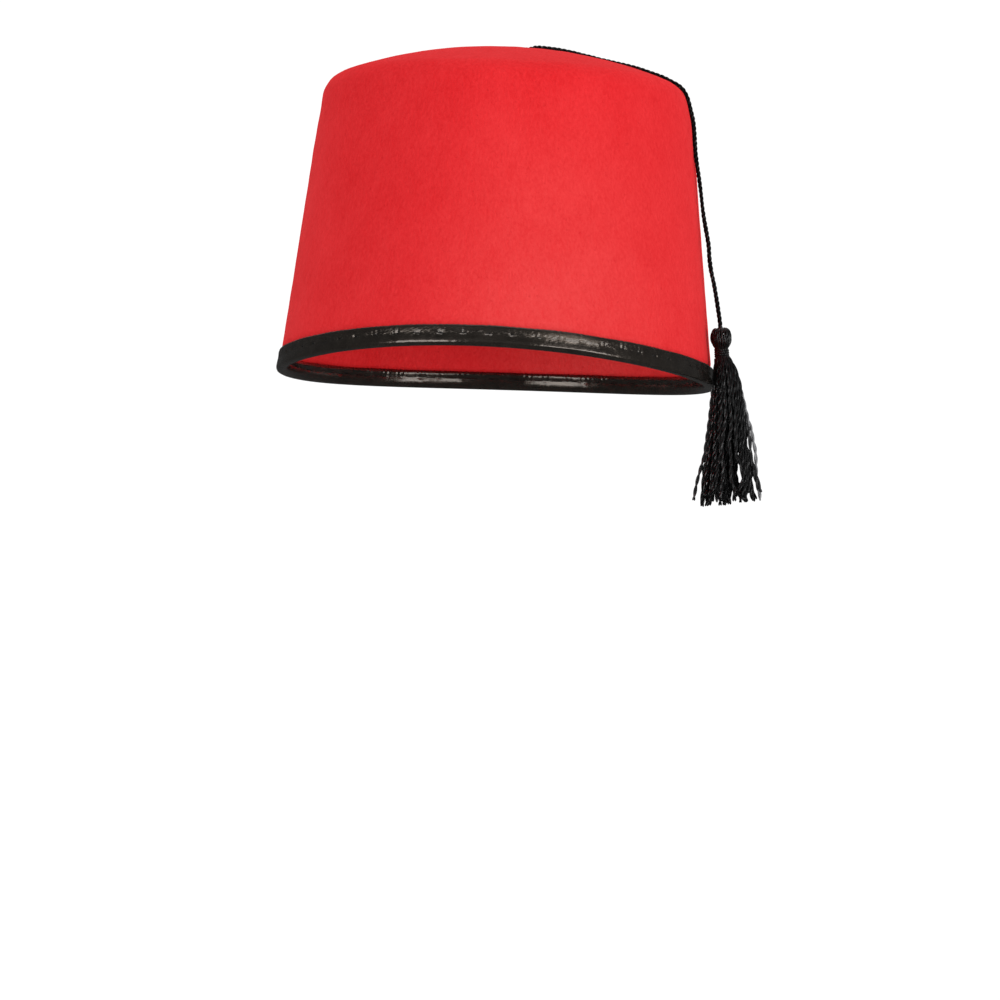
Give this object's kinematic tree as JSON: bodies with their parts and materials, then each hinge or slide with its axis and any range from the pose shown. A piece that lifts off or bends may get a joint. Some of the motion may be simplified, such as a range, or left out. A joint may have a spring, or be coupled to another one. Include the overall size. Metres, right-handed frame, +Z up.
{
  "type": "fez",
  "caption": "Oval felt fez with a sloping side, rounded shoulder and low domed top, a bound rim, and a tassel hanging below the rim from a cord fixed at the middle of the top.",
  "frame": {"origin": "middle of the head opening, on the level of the lowest part of the rim", "axes": "+Z up along the hat's axis towards its top, -Y the front of the hat, +Y its back and the long way of the oval, +X the side that the tassel hangs at"},
  "size_m": [0.1826, 0.197, 0.171],
  "materials": {
    "felt_red": "matt red moulded felt with a short nap",
    "binding_black": "glossy black imitation leather strip",
    "knot_black": "black twisted cord, tied",
    "cord_black": "black twisted cord with a slight sheen",
    "tassel_black": "black twisted rayon yarn with a silky sheen",
    "wrap_black": "black thread wound round the tassel's neck"
  },
  "bodies": {
    "root": {"crown": "felt_red", "rim_binding": "binding_black", "cord_knot": "knot_black", "tassel_cord": "cord_black", "tassel": "tassel_black", "tassel_wrap": "wrap_black"}
  },
  "joints": []
}
